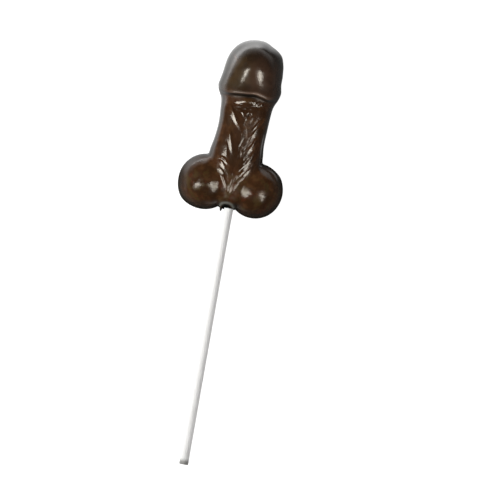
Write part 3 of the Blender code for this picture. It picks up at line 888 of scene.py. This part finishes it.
def chocolate_finish():
    """Dark glossy chocolate: mottled warm on the shaft, golden and reddish on the lobes, olive and ruddy on
    the head, the olive being painted sheen. Amber painted light lies where the folds stand up, the rim's edge
    is partly rubbed and partly a painted highlight, the head has a painted glint, the lip where the stick
    enters a painted reflection, and painted shade darkens the crown, the band above the rim, the hollows and
    the steep edges."""
    made = bpy.data.materials.new("dark_chocolate_gloss")
    made.use_nodes = True
    tree = made.node_tree
    shader = tree.nodes["Principled BSDF"]
    shader.inputs["IOR"].default_value = 1.47
    place = tree.nodes.new("ShaderNodeTexCoord").outputs["Object"]
    across, along, up = axes_of(tree, "Object")

    def mark(name):
        """One of the marks that the casting carries."""
        node = tree.nodes.new("ShaderNodeAttribute")
        node.attribute_name = name
        return node.outputs["Fac"]

    def mottle(scale, detail, roughness, start, end, low=0.0, high=1.0):
        """A soft-edged noise pattern between low and high."""
        return soft_step(tree, noise(tree, place, scale, detail, roughness), start, end, low, high)

    on_lobes = product(tree, soft_step(tree, along, 0.038, 0.032), soft_step(tree, up, 0.0005, 0.003))
    on_head = soft_step(tree, along, 0.068, 0.074)
    clouds = mottle(120.0, 3.0, 0.55, 0.40, 0.62)
    marbled = blend(tree, mottle(480.0, 4.0, 0.60, 0.42, 0.64), warm_brown, light_brown)
    lower = blend(tree, clouds, deep_brown, marbled)
    golden = mottle(260.0, 3.0, 0.6, 0.50, 0.62, high=0.65)
    lower = blend(tree, product(tree, golden, on_lobes), lower, golden_brown)
    reddish = mottle(190.0, 3.0, 0.6, 0.54, 0.64, high=0.75)
    lower = blend(tree, product(tree, reddish, on_lobes), lower, red_brown)

    # Painted sheen: the olive on the head's left half stands for the glow round its left highlight; the right
    # is ruddy
    olive = blend(tree, clouds, deep_olive, light_olive)
    ruddy = blend(tree, clouds, deep_ruddy, light_ruddy)
    upper = blend(tree, soft_step(tree, across, -0.004, 0.004), olive, ruddy)
    # Painted shade: the head turns towards near black just above the rim and over its crown
    shade_above_rim = soft_step(tree, along, 0.0765, 0.0725, high=0.4)
    upper = blend(tree, shade_above_rim, upper, painted_shade_black)
    crown = soft_step(tree, along, 0.081, 0.088, high=0.6)
    colour = blend(tree, on_head, lower, blend(tree, crown, upper, painted_shade_black))

    # Amber where the folds stand up and along the slanting band: painted light in the chocolate
    colour = blend(tree, soft_step(tree, mark("fold"), 0.05, 0.75, high=0.7), colour, lit_amber_brown)
    # The rim's edge in pale tan, partly rubbed and partly a painted highlight, and a painted glint on the
    # head
    colour = blend(tree, product(tree, mark("worn_and_glint"), 0.70), colour, rub_and_sheen_tan)
    # Painted shade: the colour darkens towards near black where the surface turns away from the view
    facing = tree.nodes.new("ShaderNodeLayerWeight")
    facing.inputs["Blend"].default_value = 0.5
    steep = soft_step(tree, facing.outputs["Facing"], 0.15, 0.65, high=0.8)
    colour = blend(tree, steep, colour, edge_shade_black)
    # A painted reflection: the pale grey lip over the hollow where the stick enters
    colour = blend(tree, mark("lip"), colour, lip_reflection_grey)
    # Painted shade, near black and without gloss, in the hollow by the stick and under the rim
    hollow = mark("hollow")
    tree.links.new(blend(tree, hollow, colour, hollow_shade_black), shader.inputs["Base Color"])

    rough = mottle(260.0, 4.0, 0.6, 0.35, 0.70, low=0.10, high=0.18)
    rough = calculate(tree, "MULTIPLY_ADD", mottle(420.0, 2.0, 0.5, 0.60, 0.50, high=0.07), on_lobes, rough)
    rough = calculate(tree, "MULTIPLY_ADD", on_head, 0.045, rough)
    rough = calculate(tree, "MULTIPLY_ADD", mark("dull"), 0.30, rough)
    tree.links.new(rough, shader.inputs["Roughness"])
    sheen = calculate(tree, "MULTIPLY_ADD", on_lobes, -0.20, 0.5)
    sheen = calculate(tree, "MULTIPLY_ADD", on_head, 0.10, sheen)
    outside = soft_step(tree, hollow, 0.0, 1.0, low=1.0, high=0.0)
    tree.links.new(product(tree, outside, sheen), shader.inputs["Specular IOR Level"])
    roughen(tree, shader, noise(tree, place, 1500.0, 3.0, 0.6), strength=0.35, distance=0.00008)
    return made


moulded_chocolate = piece_from(casting, "moulded_chocolate", chocolate_finish())
moulded_chocolate.data.shade_smooth()

# The stick's bed in the chocolate, which set tight against the paper
bed_clearance = 0.00002
bed_radius, bed_length = stick_radius + bed_clearance, stick_length + 2 * bed_clearance
chocolate_sharp_angle = 60.0
bed = bmesh.new()
bmesh.ops.create_cone(
    bed, cap_ends=True, segments=stick_sides, radius1=bed_radius, radius2=bed_radius, depth=bed_length
)
along_stick = Matrix.Rotation(math.radians(90.0), 3, "X")
bmesh.ops.rotate(bed, cent=(0, 0, 0), matrix=along_stick, verts=bed.verts)
bed_middle = (stick_axis.x, (stick_low.y + stick_high.y) / 2, stick_axis.z)
bmesh.ops.translate(bed, vec=bed_middle, verts=bed.verts)
bed_cutter = piece_from(bed, "bed_cutter", moulded_chocolate.data.materials[0])
bored = moulded_chocolate.modifiers.new("Stick bed", "BOOLEAN")
bored.operation = "DIFFERENCE"
bored.solver = "MANIFOLD"
bored.object = bed_cutter
solid = moulded_chocolate.data
moulded_chocolate.data = evaluated_mesh(moulded_chocolate)
moulded_chocolate.modifiers.clear()
bpy.data.objects.remove(bed_cutter, do_unlink=True)
bpy.data.meshes.remove(solid)
moulded_chocolate.data.set_sharp_from_angle(angle=math.radians(chocolate_sharp_angle))
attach(moulded_chocolate, "root")
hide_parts("chocolate")
